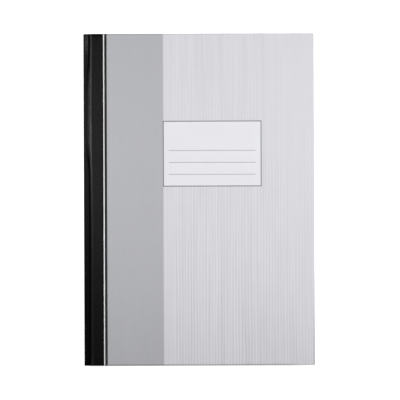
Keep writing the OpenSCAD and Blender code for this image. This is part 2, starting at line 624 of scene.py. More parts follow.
@functools.cache
def paper_fibres() -> bpy.types.NodeTree:
    """Effect of paper's fibres and clouds.

    Returns:
        The group, which puts out a tone about 1 and a height.
    """
    inputs = {"Vector": "Vector", "Fibre Scale": "Float", "Contrast": "Float"}
    outputs = {"Tone": "Float", "Height": "Float"}
    graph = Graph.group("ShaderNodeTree", "Paper fibres", inputs, outputs)
    vector, scale, contrast = graph.given.values()
    fibres_per_cloud = 30.0
    fibres = graph.noise(vector, scale, detail=4)
    clouds = graph.noise(vector, scale / fibres_per_cloud, detail=2)
    return graph.ended({"Tone": (fibres + clouds - 1.0) * contrast + 1.0, "Height": fibres})


@functools.cache
def edge_wear() -> bpy.types.NodeTree:
    """Effect of wear that fades away from an edge.

    Returns:
        The group, which puts out a ragged mask.
    """
    inputs = {"Vector": "Vector", "Distance": "Float", "Width": "Float", "Grain Scale": "Float"}
    graph = Graph.group("ShaderNodeTree", "Edge wear", inputs, {"Worn": "Float"})
    vector, distance, width, grain_scale = graph.given.values()
    raggedness = 1.6
    faint, bare = 0.35, 0.95
    worn = graph.noise(vector, grain_scale, detail=4) * raggedness - distance / width
    return graph.ended({"Worn": graph.step(worn, faint, bare)})


@functools.cache
def plain_weave() -> bpy.types.NodeTree:
    """Effect of a plain weave.

    Returns:
        The group, which puts out a height that is 0 in the holes and 1 on the threads.
    """
    inputs = {"Across": "Float", "Along": "Float", "Pitch": "Float"}
    graph = Graph.group("ShaderNodeTree", "Plain weave", inputs, {"Height": "Float"})
    across, along, pitch = graph.given.values()
    higher = graph.math("MAXIMUM", graph.wave(across, pitch), graph.wave(along, pitch))
    return graph.ended({"Height": higher})


@dataclass(frozen=True)
class Finish:
    """A surface finish and the record's material slot that it stands for."""

    name: str
    slot: str

    @functools.cache
    def material(self) -> bpy.types.Material:
        """Makes the finish's material at the first call.

        Returns:
            The material.
        """
        made = bpy.data.materials.new(self.name)
        graph = Graph.of(made)
        surface = graph.add("ShaderNodeBsdfPrincipled", self.paint(graph))
        graph.add("ShaderNodeOutputMaterial", {"Surface": surface})
        return made

    def paint(self, graph: Graph) -> dict[str, Input]:
        """Colour, roughness, normal and what else the shader gets, by its names."""
        raise NotImplementedError

    def dress(self, node: bpy.types.Object) -> None:
        """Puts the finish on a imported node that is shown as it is.

        Args:
            node: The node's object.
        """
        node.data.materials.clear()
        node.data.materials.append(self.material())
        LOG.info("%s: dressed", node.name)


@dataclass(frozen=True)
class Fibres:
    """How fine paper's fibres are, and how much they shade it."""

    scale: float
    contrast: float

    def laid(self, graph: Graph, at: Value) -> Value:
        """The fibres' tone at a place, with their height as another output."""
        named = {"vector": at, "fibre_scale": self.scale, "contrast": self.contrast}
        return graph.effect(paper_fibres(), **named)


@dataclass(frozen=True)
class Wear:
    """How wide an edge is worn, how fine the wear's grain is, and how far it goes."""

    width: float
    grain: float
    share: float

    def laid(self, graph: Graph, at: Value, distance: Value) -> Value:
        """The wear at a place, by its distance from the edge."""
        named = {"distance": distance, "width": self.width, "grain_scale": self.grain}
        return graph.effect(edge_wear(), vector=at, **named) * self.share


@dataclass(frozen=True)
class Streaks:
    """Random streaks, drawn out from head to tail the more the smaller their draw."""

    draw: float
    pitch: float
    detail: float

    def laid(self, graph: Graph, at: Value) -> Value:
        """The streaks' strength at a place, from 0 to 1."""
        drawn = graph.scaled(at, 1.0, self.draw, 0.0)
        return graph.noise(drawn, 1 / self.pitch, self.detail)


@dataclass(frozen=True)
class CoverPrint(Finish):
    """The cover paper's print: two lines, a grey band, a striped ground and a bare label, with
    painted shade towards the tail and along three edges.
    """

    spine_x: float
    head_y: float
    fore_edge_x: float
    has_label: bool
    white_line_end: float = 19.1 * MM
    black_line_end: float = 21.45 * MM
    band_end: float = 72.9 * MM
    print_edge: float = 0.06 * MM
    label_width: float = 89.3 * MM
    label_top: float = 80.15 * MM
    label_height: float = 59.3 * MM
    label_border: float = 0.75 * MM
    rule_first: float = 26.8 * MM
    rule_step: float = 10.9 * MM
    rule_count: int = 3
    rule_inset: float = 5.0 * MM
    rule_thickness: float = 0.48 * MM
    stripe_pitch: float = 2.74 * MM
    stripe_drift: Streaks = Streaks(draw=0.1, pitch=25 * MM, detail=1)
    drift_turn: float = 5.0
    head_wave: float = 0.16
    tail_wave: float = 0.36
    fine_streaks: Streaks = Streaks(draw=0.03, pitch=2.74 * MM, detail=3)
    broad_streaks: Streaks = Streaks(draw=0.02, pitch=9.13333 * MM, detail=1)
    broad_share: float = 0.6
    streak_middle: float = 0.8
    streak_share: float = 1.3
    head_strength: float = 0.75
    tail_strength: float = 1.25
    fade_start: float = 0.35
    fore_edge_loss: float = 0.55
    plain_width: float = 10.0 * MM
    plain_strength: float = 0.4
    # Painted shade: darker towards the tail, and thin lines along the tail, fore-edge and head
    # edges that fade near the tail's fore-edge corner.
    tail_shade_reach: float = 80 * MM
    tail_shade_share: float = 0.045
    edge_shade_line: Place = (0.2 * MM, 1.4 * MM, 0.2 * MM)
    tail_edge_shade: float = 0.43
    fore_edge_shade: float = 0.36
    head_edge_shade: float = 0.16
    corner_fade: Point = (3 * MM, 30 * MM)
    wear: Wear = Wear(width=1.1 * MM, grain=900.0, share=0.28)
    fibres: Fibres = Fibres(scale=2600.0, contrast=0.03)
    fibre_height: float = 0.006 * MM
    roughness: float = 0.42
    worn_roughness: float = 0.3
    specular: float = 0.2
    white: Colour = srgb(238, 238, 240)
    black: Colour = srgb(6, 6, 8)
    band_light: Colour = srgb(180, 181, 185)
    band_dark: Colour = srgb(174, 174, 179)
    ground_light: Colour = srgb(220, 220, 225)
    ground_dark: Colour = srgb(205, 205, 210)
    label_grey: Colour = srgb(228, 228, 232)
    border_grey: Colour = srgb(84, 84, 90)
    rule_grey: Colour = srgb(150, 150, 156)
    bare_paper: Colour = srgb(240, 239, 236)
    # Colour of the painted shade.
    shade_grey: Colour = srgb(40, 40, 42)

    def stripes(self, graph: Graph, place: Value) -> Value:
        """Uneven fine stripes that run from head to tail, from 0 to 1.

        Args:
            graph: The material's graph.
            place: Where a point lies in the book.

        Returns:
            The stripes' strength, weaker to the head and near the fore-edge.
        """
        x, y, _ = graph.split(place)
        to_tail = graph.step(y, self.head_y, -self.head_y)
        drift = self.stripe_drift.laid(graph, place) * self.drift_turn
        wave = graph.math("SINE", drift + x * (FULL_TURN / self.stripe_pitch))
        regular = wave * (to_tail * (self.tail_wave - self.head_wave) + self.head_wave)
        broad = self.broad_streaks.laid(graph, place) * self.broad_share
        uneven = self.fine_streaks.laid(graph, place) + broad - self.streak_middle
        near_edge = graph.step(x, self.fore_edge_x * self.fade_start, self.fore_edge_x)
        full = to_tail * (self.tail_strength - self.head_strength) + self.head_strength
        full = full - near_edge * self.fore_edge_loss
        begins = self.spine_x + self.band_end + self.plain_width
        begun = graph.past(x, begins, self.stripe_pitch / 2)
        amount = full * (begun * (1 - self.plain_strength) + self.plain_strength)
        return (uneven * self.streak_share + regular) * amount + 0.5

    def label(self, graph: Graph, across: Value, down: Value, colour: Value) -> Value:
        """Prints the framed label with its ruled lines.

        Args:
            graph: The material's graph.
            across: Distance from the back of the spine.
            down: Distance from the head.
            colour: What is printed under the label.

        Returns:
            The colour with the label over it.
        """
        soft = self.print_edge
        left = self.band_end
        right = left + self.label_width
        bottom = self.label_top + self.label_height
        for grow, grey in ((0.5, self.border_grey), (-0.5, self.label_grey)):
            edge = grow * self.label_border
            wide = graph.between(across, left - edge, right + edge, soft)
            high = graph.between(down, self.label_top - edge, bottom + edge, soft)
            colour = graph.mix(wide * high, colour, grey)
        ruled = graph.between(across, left + self.rule_inset, right - self.rule_inset, soft)
        for k in range(self.rule_count):
            middle = self.label_top + self.rule_first + k * self.rule_step
            low = middle - self.rule_thickness / 2
            line = graph.between(down, low, low + self.rule_thickness, soft)
            colour = graph.mix(line * ruled, colour, self.rule_grey)
        return colour

    def painted_shade(self, graph: Graph, x: Value, y: Value) -> Value:
        """Painted shade on the paper: darker towards the tail, and a thin painted shade line along
        the tail, fore-edge and head.

        Args:
            graph: The material's graph.
            x: Place across the book.
            y: Place along the book.

        Returns:
            The share of painted shade.
        """
        to_tail = y + self.head_y
        to_head = self.head_y - y
        to_fore = self.fore_edge_x - x
        from_corner = graph.step(to_fore, *self.corner_fade)
        from_fore = graph.step(to_fore, 0.0, self.fore_edge_x - self.spine_x)
        low = graph.step(to_tail, self.tail_shade_reach, 0.0)
        darkest = low * self.tail_shade_share
        for distance, share, along in (
            (to_tail, self.tail_edge_shade, from_corner),
            (to_fore, self.fore_edge_shade, low),
            (to_head, self.head_edge_shade, from_fore),
        ):
            line = graph.between(distance, *self.edge_shade_line)
            darkest = graph.math("MAXIMUM", darkest, line * share * along)
        return darkest

    def paint(self, graph: Graph) -> dict[str, Input]:
        """Paints the print on its paper.

        Args:
            graph: The material's graph.

        Returns:
            What the shader gets, by its names.
        """
        place = graph.place()
        x, y, _ = graph.split(place)
        across = x - self.spine_x
        stripes = self.stripes(graph, place)
        band = graph.mix(stripes, self.band_dark, self.band_light)
        colour = graph.mix(stripes, self.ground_dark, self.ground_light)
        for end, before in (
            (self.band_end, band),
            (self.black_line_end, self.black),
            (self.white_line_end, self.white),
        ):
            colour = graph.mix(graph.past(across, end, self.print_edge), before, colour)
        if self.has_label:
            colour = self.label(graph, across, self.head_y - y, colour)
        fibres = self.fibres.laid(graph, place)
        colour = graph.tinted(colour, fibres)
        # Painted shade: the paper is darkened towards the tail and along its edges.
        colour = graph.mix(self.painted_shade(graph, x, y), colour, self.shade_grey)
        to_edge = graph.math("MINIMUM", self.head_y - abs(y), self.fore_edge_x - x)
        worn = self.wear.laid(graph, place, to_edge)
        return {
            "Base Color": graph.mix(worn, colour, self.bare_paper),
            "Roughness": worn * self.worn_roughness + self.roughness,
            "Specular IOR Level": self.specular,
            "Normal": graph.raised(fibres.out("Height"), self.fibre_height),
        }


@dataclass(frozen=True)
class BlackLeatherette(Finish):
    """Black strip with a fine pressed grain, rubbed at its ends and along the board's edge."""

    half_length: float
    ridge: float
    shoulder: float
    turn_in: float
    loose_span: Point
    loose_fade: Point
    groove_gloss: float = 0.062
    groove_gloss_end: float = 0.95
    face_gloss: float = 0.062
    face_start: Point = (-0.6 * MM, 0.4 * MM)
    shoulder_reach: float = 2 * MM
    shoulder_rub: float = 1.8
    shoulder_fade: Point = (1.4, 0.5)
    ridge_rub: float = 0.45
    upper_rub: float = 0.55
    upper_rise: Point = (-0.6, 0.2)
    tail_rub: float = 0.5
    tail_fade: float = 0.6
    head_rub: float = 1.3
    head_rise: Point = (80 * MM, 125 * MM)
    crest: float = 0.6 * MM
    crest_lean: float = 0.35 * MM
    lean_rise: Point = (10 * MM, 50 * MM)
    face_reach: float = 1.6 * MM
    wall_reach: float = 1.1 * MM
    loose_reach: float = 2.5 * MM
    polish: float = 0.44
    grain_pitch: float = 0.42 * MM
    grain_height: float = 0.012 * MM
    grain_tops: Point = (0.35, 0.8)
    top_gloss: float = 0.9
    pit_gloss: float = 0.5
    cloud_scale: float = 90.0
    cloud_roughness: float = 0.08
    roughness: float = 0.24
    coat_roughness: float = 0.25
    specular: float = 0.01
    wear: Wear = Wear(width=0.7 * MM, grain=700.0, share=0.2)
    black: Colour = srgb(5, 4, 5)
    grain_black: Colour = srgb(10, 9, 11)
    rubbed: Colour = srgb(58, 57, 60)

    def ridge_shine(self, graph: Graph, past_ridge: Value, along: Value) -> Value:
        """How far the strip is polished along the board's edge, where it leans and lies loose.

        Args:
            graph: The material's graph.
            past_ridge: Distance across from the ridge.
            along: Distance towards the head from the middle of the strip.

        Returns:
            The share of polish.
        """
        half = self.half_length
        upper = graph.step(along, *(share * half for share in self.upper_rise))
        at_tail = graph.step(along, self.tail_fade * self.turn_in - half, -half)
        at_head = graph.step(along, *self.head_rise)
        rub = upper * self.upper_rub + self.ridge_rub
        rub = rub + at_tail * self.tail_rub + at_head * self.head_rub
        low, high = self.loose_span
        rise, fall = self.loose_fade
        loose = graph.step(along, low, low + rise) * graph.step(along, high, high - fall)
        lean = graph.step(along, *self.lean_rise) + loose
        off_crest = past_ridge - (self.crest - lean * self.crest_lean)
        down_reach = loose * (self.wall_reach - self.loose_reach) - self.wall_reach
        off = graph.math("MAXIMUM", off_crest / down_reach, off_crest / self.face_reach)
        return graph.step(off, 1.0, 0.0) * rub

    def gloss(self, graph: Graph, across: Value, along: Value) -> Value:
        """How much lacquer still shines: little in the groove's tail, most along the ridge.

        Args:
            graph: The material's graph.
            across: Distance along the strip's line from the middle of the spine.
            along: Distance towards the head from the middle of the strip.

        Returns:
            The weight of the coat.
        """
        half = self.half_length
        past_ridge = across - self.ridge
        in_groove = graph.step(along, -half, self.groove_gloss_end * half) * self.groove_gloss
        on_face = graph.step(past_ridge, *self.face_start)
        ground = (self.face_gloss - in_groove) * on_face + in_groove
        near_shoulder = graph.step(abs(across - self.shoulder), self.shoulder_reach, 0.0)
        fade = (share * self.turn_in for share in self.shoulder_fade)
        shoulder = near_shoulder * self.shoulder_rub * graph.step(half - along, *fade)
        ridge = self.ridge_shine(graph, past_ridge, along)
        return graph.math("MAXIMUM", ridge, shoulder) * self.polish + ground

    def paint(self, graph: Graph) -> dict[str, Input]:
        """Paints the pressed grain, its lacquer and its wear.

        Args:
            graph: The material's graph.

        Returns:
            What the shader gets, by its names.
        """
        flat = graph.pattern()
        across, along, _ = graph.split(flat)
        grain = {"Vector": flat, "Scale": 1 / self.grain_pitch}
        pebbles = 1.0 - graph.add("ShaderNodeTexVoronoi", grain, feature="F1").out("Distance")
        clouds = graph.noise(flat, self.cloud_scale, detail=3)
        colour = graph.mix(pebbles * clouds, self.black, self.grain_black)
        to_end = self.half_length - abs(along)
        to_edge = graph.math("MINIMUM", to_end, abs(across - self.ridge))
        worn = self.wear.laid(graph, flat, to_edge)
        tops = graph.step(pebbles, *self.grain_tops) * self.top_gloss + self.pit_gloss
        return {
            "Base Color": graph.mix(worn, colour, self.rubbed),
            "Roughness": clouds * self.cloud_roughness + self.roughness,
            "Coat Weight": self.gloss(graph, across, along) * tops,
            "Coat Roughness": self.coat_roughness,
            "Specular IOR Level": self.specular,
            "Normal": graph.raised(pebbles, self.grain_height),
        }


@dataclass(frozen=True)
class PagePaper(Finish):
    """Writing paper, ruled on both sides as an empty register."""

    width: float
    height: float
    margin: float = 9 * MM
    head_margin: float = 24 * MM
    row_pitch: float = 8.5 * MM
    columns: tuple[float, ...] = (24 * MM, 46 * MM, 104 * MM, 162 * MM)
    line: float = 0.2 * MM
    leaf_step: float = 0.02
    leaf_scale: float = 6.0
    leaf_contrast: float = 0.3
    fibres: Fibres = Fibres(scale=2200.0, contrast=0.05)
    fibre_height: float = 0.008 * MM
    fibre_roughness: float = 0.1
    roughness: float = 0.68
    specular: float = 0.25
    white: Colour = srgb(236, 235, 230)
    rule_grey: Colour = srgb(152, 160, 170)

    def ruling(self, graph: Graph, across: Value, up: Value) -> Value:
        """1 on the ruled lines and 0 beside them.

        Args:
            graph: The material's graph.
            across: Distance from the fold.
            up: Distance from the leaf's tail.

        Returns:
            The mask.
        """
        soft = self.line / 4
        half = self.line / 2
        top = self.height - self.head_margin
        outer = self.width - self.margin
        wide = graph.between(across, self.margin - half, outer + half, soft)
        high = graph.between(up, self.margin - half, top + half, soft)
        to_row = graph.math("PINGPONG", top - up, self.row_pitch / 2)
        lines = 1.0 - graph.past(to_row, half, soft)
        for column in (self.margin, *self.columns, outer):
            rule = graph.between(across, column - half, column + half, soft)
            lines = graph.math("MAXIMUM", lines, rule)
        return lines * (wide * high)

    def paint(self, graph: Graph) -> dict[str, Input]:
        """Paints the ruled paper, each leaf a little different.

        Args:
            graph: The material's graph.

        Returns:
            What the shader gets, by its names.
        """
        flat = graph.pattern()
        across, up, _ = graph.split(flat)
        fibres = self.fibres.laid(graph, flat)
        leaf = graph.add("ShaderNodeAttribute", attribute_name=LEAF_NUMBER).out("Fac")
        layered = graph.joined(across, up, leaf * self.leaf_step)
        layers = graph.noise(layered, self.leaf_scale, detail=4)
        aged = layers * self.leaf_contrast + (1 - self.leaf_contrast / 2)
        paper = graph.tinted(self.white, fibres * aged)
        height = fibres.out("Height")
        return {
            "Base Color": graph.mix(self.ruling(graph, across, up), paper, self.rule_grey),
            "Roughness": height * self.fibre_roughness + self.roughness,
            "Specular IOR Level": self.specular,
            "Normal": graph.raised(height, self.fibre_height),
        }


@dataclass(frozen=True)
class Endpaper(Finish):
    """Stout plain paper, a little warmer than the leaves, with a laid grain."""

    laid_pitch: float = 1.1 * MM
    laid_share: float = 0.3
    laid_height: float = 0.012 * MM
    laid_roughness: float = 0.1
    fibres: Fibres = Fibres(scale=1500.0, contrast=0.06)
    roughness: float = 0.645
    specular: float = 0.25
    white: Colour = srgb(238, 236, 230)

    def paint(self, graph: Graph) -> dict[str, Input]:
        """Paints the laid paper.

        Args:
            graph: The material's graph.

        Returns:
            What the shader gets, by its names.
        """
        flat = graph.pattern()
        across, _, _ = graph.split(flat)
        fibres = self.fibres.laid(graph, flat)
        laid = graph.wave(across, self.laid_pitch) * self.laid_share
        height = laid + fibres.out("Height")
        return {
            "Base Color": graph.tinted(self.white, fibres),
            "Roughness": height * self.laid_roughness + self.roughness,
            "Specular IOR Level": self.specular,
            "Normal": graph.raised(height, self.laid_height),
        }


@dataclass(frozen=True)
class GreyBoard(Finish):
    """Grey binder's board, flecked with recycled fibre and layered at its edges."""

    layer_pitch: float = 0.35 * MM
    layer_slope: float = 0.03
    layer_height: float = 0.03 * MM
    fleck_scale: float = 420.0
    fleck_rise: Point = (0.6, 0.72)
    fleck_roughness: float = 0.1
    fibres: Fibres = Fibres(scale=900.0, contrast=0.18)
    roughness: float = 0.8
    grey: Colour = srgb(154, 148, 138)
    fleck: Colour = srgb(104, 98, 90)

    def paint(self, graph: Graph) -> dict[str, Input]:
        """Paints the flecked, layered board.

        Args:
            graph: The material's graph.

        Returns:
            What the shader gets, by its names.
        """
        place = graph.place()
        fibres = self.fibres.laid(graph, place)
        mottle = graph.noise(place, self.fleck_scale, detail=5)
        flecks = graph.step(mottle, *self.fleck_rise)
        level = graph.scaled(place, self.layer_slope, self.layer_slope, 1.0)
        layers = graph.noise(level, 1 / self.layer_pitch, detail=1)
        return {
            "Base Color": graph.mix(flecks, graph.tinted(self.grey, fibres), self.fleck),
            "Roughness": flecks * self.fleck_roughness + self.roughness,
            "Normal": graph.raised(fibres.out("Height") + layers, self.layer_height),
        }


@dataclass(frozen=True)
class Gauze(Finish):
    """Starched open gauze, with its glue in the holes of the weave."""

    pitch: float = 0.9 * MM
    thread_rise: Point = (0.45, 0.75)
    thread_height: float = 0.08 * MM
    thread_roughness: float = 0.35
    roughness: float = 0.5
    thread: Colour = srgb(232, 227, 214)
    glue: Colour = srgb(196, 184, 158)

    def paint(self, graph: Graph) -> dict[str, Input]:
        """Paints the weave and the glue in its holes.

        Args:
            graph: The material's graph.

        Returns:
            What the shader gets, by its names.
        """
        x, y, z = graph.split(graph.place())
        weave = graph.effect(plain_weave(), across=x + z, along=y, pitch=self.pitch)
        threads = graph.step(weave, *self.thread_rise)
        return {
            "Base Color": graph.mix(threads, self.glue, self.thread),
            "Roughness": threads * self.thread_roughness + self.roughness,
            "Normal": graph.raised(weave, self.thread_height),
        }


@dataclass(frozen=True)
class BandYarn(Finish):
    """Soft white yarn of the bands, with its fibres and painted shade between the turns."""

    pitch: float = 0.16 * MM
    yarn_height: float = 0.02 * MM
    fibre_scale: float = 4000.0
    fibre_roughness: float = 0.2
    roughness: float = 0.7
    sheen: float = 0.2
    white: Colour = srgb(240, 237, 229)
    # Colour of the painted shade between the turns.
    shade: Colour = srgb(205, 199, 186)

    def paint(self, graph: Graph) -> dict[str, Input]:
        """Paints the plies of the yarn.

        Args:
            graph: The material's graph.

        Returns:
            What the shader gets, by its names.
        """
        place = graph.place()
        x, y, z = graph.split(place)
        weave = graph.effect(plain_weave(), across=x + y + z, along=y, pitch=self.pitch)
        fibres = graph.noise(place, self.fibre_scale, detail=3)
        return {
            # Painted shade: the yarn darkens in the hollows between its turns.
            "Base Color": graph.mix(weave * fibres, self.shade, self.white),
            "Roughness": fibres * self.fibre_roughness + self.roughness,
            "Sheen Weight": self.sheen,
            "Normal": graph.raised(weave, self.yarn_height),
        }


@dataclass(frozen=True)
class LinenThread(Finish):
    """Waxed linen sewing thread, twisted from two plies."""

    twist_pitch: float = 0.35 * MM
    twist_slant: float = 2.0
    twist_height: float = 0.01 * MM
    twist_roughness: float = 0.15
    roughness: float = 0.4
    white: Colour = srgb(243, 240, 231)
    shade: Colour = srgb(212, 204, 186)

    def paint(self, graph: Graph) -> dict[str, Input]:
        """Paints the twist of the thread.

        Args:
            graph: The material's graph.

        Returns:
            What the shader gets, by its names.
        """
        x, y, z = graph.split(graph.place())
        twist = graph.wave(x + y + z * self.twist_slant, self.twist_pitch)
        return {
            "Base Color": graph.mix(twist, self.shade, self.white),
            "Roughness": twist * self.twist_roughness + self.roughness,
            "Normal": graph.raised(twist, self.twist_height),
        }


@dataclass
class CoverWrap:
    """The printed paper over a board: its face, three round edges and the turned-in flaps."""

    book: BookFrame
    corner_radius: float = 1.0 * MM
    mitre: float = 0.1 * MM
    corner_steps: int = 12

    def outline(self, inset: float) -> list[Point]:
        """The paper's outline from head to tail, seen from above.

        Args:
            inset: How far it is drawn in from the cover's edges.

        Returns:
            The outline's points.
        """
        paper = self.book.paper
        radius = self.corner_radius + self.book.covering
        rest = max(radius - inset, 0.0)
        x = paper.high.x - inset
        y = paper.high.y - inset
        cut = self.mitre if inset > radius else 0.0
        corner = arc((x - rest, y - rest), rest, 90, 0, self.corner_steps)
        middle = len(corner) // 2 + 1
        shifted = [(px - cut, py) for px, py in corner[:middle]]
        shifted += [(px, py - cut) for px, py in corner[middle:]]
        head = [(paper.low.x, y), *shifted]
        return head + [(px, -py) for px, py in reversed(head)]

    def profile(self) -> list[Point]:
        """Steps round the board's edge, from its face to the flap's end.

        Returns:
            The inset and the height of each step.
        """
        paper = self.book.paper
        r = self.book.edge_radius + self.book.covering
        over = arc((r, paper.high.z - r), r, 90, 180)
        under = arc((r, paper.low.z + r), r, 180, 270)
        return [*over, *under, (self.book.turn_in + self.book.covering, paper.low.z)]

    def shape(self) -> Shape:
        """The paper's outer surface on the front cover, slit at the mitres.

        Returns:
            The shape.
        """
        rings = [[(x, y, z) for x, y in self.outline(inset)] for inset, z in self.profile()]
        made = Shape.grid(rings)
        width = len(rings[0])
        slit = self.corner_steps // 2 + 1
        slits = {(len(rings) - 2) * width + k for k in (slit, width - 2 - slit)}
        made.faces = [face for face in made.faces if face[0] not in slits]
        made.faces.append(tuple(reversed(range(width))))
        return made

    def build(self, side: Side) -> None:
        """Makes one cover's paper, on its cover.

        Args:
            side: The cover.
        """
        book = self.book
        finish = CoverPrint(
            name=side.named("printed_paper"),
            slot="cover_paper",
            spine_x=book.spine.low.x,
            head_y=book.paper.high.y,
            fore_edge_x=book.paper.high.x,
            has_label=side is Side.FRONT,
        )
        shape = self.shape().on(side, book.thickness)
        piece = shape.piece(side.named("cover_wrap"), finish, book.covering)
        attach(piece, side.named("cover"))
        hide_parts(side.named("cover_paper"))


@dataclass(frozen=True)
class Station:
    """One line along the strip: its outer place, its place when turned in, and the flap there."""

    outer: Point
    inner: Point
    flap: float


@dataclass
class BlackStrip:
    """Half of the black strip: from the middle of the spine through the groove to the paper."""

    book: BookFrame
    edge_slope: float = 3.0 * MM
    edge_drop: float = 1.1 * MM
    crest: float = 2.3 * MM
    ridge_share: float = 0.7
    wall_slant: float = 58.0
    loose_slant: float = 28.0
    loose_span: Point = (24 * MM, 134 * MM)
    loose_fade: Point = (16 * MM, 24 * MM)
    spine_radius: float = 0.45 * MM
    groove_radius: float = 0.6 * MM
    crease: float = 0.3 * MM
    tuck_length: float = 0.3 * MM
    tuck_depth: float = 0.08 * MM
    groove_flap: float = 2.8 * MM
    swell: float = 0.42 * MM
    swell_lean: float = 2.1
    swell_reach: float = 1.4
    round_share: float = 0.48
    crease_steps: int = 12
    floor_steps: int = 10
    middle_steps: int = 24
    end_steps: int = 10
    edge_steps: int = 10
    face_steps: int = 8
    round_steps: int = 5

    def bend(self, slant: float) -> list[Point]:
        """The strip's line from the groove's floor, up the groove's wall, to the board's face.

        Args:
            slant: The wall's slant in degrees.

        Returns:
            The line's points, across and upwards.
        """
        book = self.book
        top = book.spine.high.z
        face_z = book.strip.high.z
        crest_x = book.board.low.x - book.covering + self.crest
        steep = math.tan(math.radians(slant))
        start = 180 - math.degrees(math.atan2(self.edge_drop, steep * self.edge_slope))
        over = [
            (crest_x + self.edge_slope * c, face_z - self.edge_drop * (1 - s))
            for c, s in arc((0.0, 0.0), 1.0, start, 90, self.edge_steps)
        ]
        x, z = over[0]
        foot = x - (z - top) / steep
        middle = foot - self.groove_radius * math.tan(math.radians(slant / 2))
        centre = (middle, top + self.groove_radius)
        return [*arc(centre, self.groove_radius, 270, 270 + slant), *over]

    def stations(self, slant: float) -> list[Station]:
        """Lines along the strip, from the middle of the spine to the paper's edge.

        Args:
            slant: Slant of the groove's wall in degrees.

        Returns:
            The lines in order.
        """
        book = self.book
        wall = book.covering
        back = book.spine.low.x
        top = book.spine.high.z
        face_z = book.strip.high.z
        flap_z = book.strip.low.z
        end_x = book.strip.high.x
        behind_x = book.inlay.high.x + wall
        lip_z = top - 2 * wall
        r = self.spine_radius + wall
        bend = self.bend(slant)
        groove_x = bend[0][0]
        crest_x = bend[-1][0]
        before = book.hinge.x - self.crease
        after = book.hinge.x + self.crease
        middle = book.thickness / 2
        shoulder = [*arc((back + r, top - r), r, 180, 90)[1:], (before, top)]
        crease = [(x, top) for x in spaced(before, after, self.crease_steps)[1:]]
        floor = [(x, top) for x in spaced(after, groove_x, self.floor_steps)[1:]]
        tuck_x = end_x - self.tuck_length
        face = [(x, face_z) for x in spaced(crest_x, tuck_x, self.face_steps)[1:]]
        face.append((end_x, face_z - self.tuck_depth))
        lines = ([(back, top - r)], shoulder, crease, floor, bend[1:], face)
        turned_in = [(behind_x, middle), (behind_x, top - r), (behind_x, lip_z), (after, lip_z)]
        turned_in += [(groove_x, lip_z), (crest_x, flap_z), (end_x, flap_z)]
        flaps = (book.turn_in, *[self.groove_flap] * 3, book.turn_in, book.turn_in)
        stations = [Station((back, middle), turned_in[0], book.turn_in)]
        for outer, start, end, flap in zip(lines, turned_in, turned_in[1:], flaps):
            inner = zip(*(spaced(a, b, len(outer))[1:] for a, b in zip(start, end)))
            stations += [Station(o, i, flap) for o, i in zip(outer, inner)]
        return stations

    def swollen(self, x: float, y: float) -> float:
        """How far the groove's floor stands up near an end, over the edge that is turned in.

        Args:
            x: Place across the book.
            y: Place along the book.

        Returns:
            The rise.
        """
        start = self.book.hinge.x + self.crease
        share = min(max((x - start) / (self.bend(self.wall_slant)[0][0] - start), 0.0), 1.0)
        from_end = self.book.strip.high.y - abs(y)
        near_end = smooth(self.swell_reach - from_end / self.book.turn_in)
        return self.swell * math.sin(math.pi * share**self.swell_lean) ** 2 * near_end

    def loose(self, y: float) -> float:
        """How far the strip spans the groove's corner there and doesn't lie in it, from 0 to 1."""
        (low, high), (rise, fall) = self.loose_span, self.loose_fade
        return smooth((y - low) / rise) * smooth((high - y) / fall)

    def lengthwise(self, station: Station) -> list[Point]:
        """One station's line from flap to flap.

        Args:
            station: The station.

        Returns:
            The depth under the outside and the place along the book of each point.
        """
        across = math.dist(station.outer, station.inner)
        radius = min(self.book.edge_radius + self.book.covering, self.round_share * across)
        end = self.book.strip.high.y
        near_end = end - 2 * self.book.turn_in
        middle = [(0.0, y) for y in spaced(-near_end, near_end, self.middle_steps)[1:-1]]
        lead = [(0.0, y) for y in spaced(near_end, end - radius, self.end_steps)]
        over = arc((radius, end - radius), radius, 180, 90, self.round_steps)
        under = arc((across - radius, end - radius), radius, 90, 0, self.round_steps)
        head = [*lead, *over[1:], *under, (across, end - station.flap)]
        return [*((deep, -y) for deep, y in reversed(head)), *middle, *head]

    def laid(self, tight: Station, loose: Station, deep: float, y: float) -> Place:
        """Where one point of a station's line lies.

        Args:
            tight: The station where the strip lies in the groove's corner.
            loose: The same station where the strip spans the corner.
            deep: The point's depth under the outside.
            y: Its place along the book.

        Returns:
            The point.
        """
        share = deep / math.dist(tight.outer, tight.inner)
        slack = self.loose(y)
        x, z = (t + (l - t) * slack for t, l in zip(tight.outer, loose.outer))
        z += self.swollen(tight.outer[0], y)
        return (x + (tight.inner[0] - x) * share, y, z + (tight.inner[1] - z) * share)

    def shape(self) -> Shape:
        """The strip's outer surface on the front half of the book.

        Returns:
            The shape.
        """
        rows: list[list[Place]] = []
        flat: list[list[Point]] = []
        run = 0.0
        before = None
        for tight, loose in zip(self.stations(self.wall_slant), self.stations(self.loose_slant)):
            run += math.dist(tight.outer, before.outer) if before else 0.0
            before = tight
            line = self.lengthwise(tight)
            rows.append([self.laid(tight, loose, deep, y) for deep, y in line])
            half = len(line) // 2
            along = [line[half][1]]
            for first, second in zip(line[half:], line[half + 1:]):
                along.append(along[-1] + math.dist(first, second))
            flat.append([(run, -v) for v in reversed(along[1:])] + [(run, v) for v in along])
        lines, pattern = ([list(line) for line in zip(*grid)] for grid in (rows, flat))
        return Shape.grid(lines, pattern)

    def run_to(self, x: float) -> float:
        """How far the strip's line runs from the middle of the spine.

        Args:
            x: Place across the book that it runs to.

        Returns:
            The length of the line.
        """
        stations = self.stations(self.wall_slant)
        run = 0.0
        for first, second in zip(stations, stations[1:]):
            run += math.dist(first.outer, second.outer)
            if second.outer[0] >= x:
                break
        return run

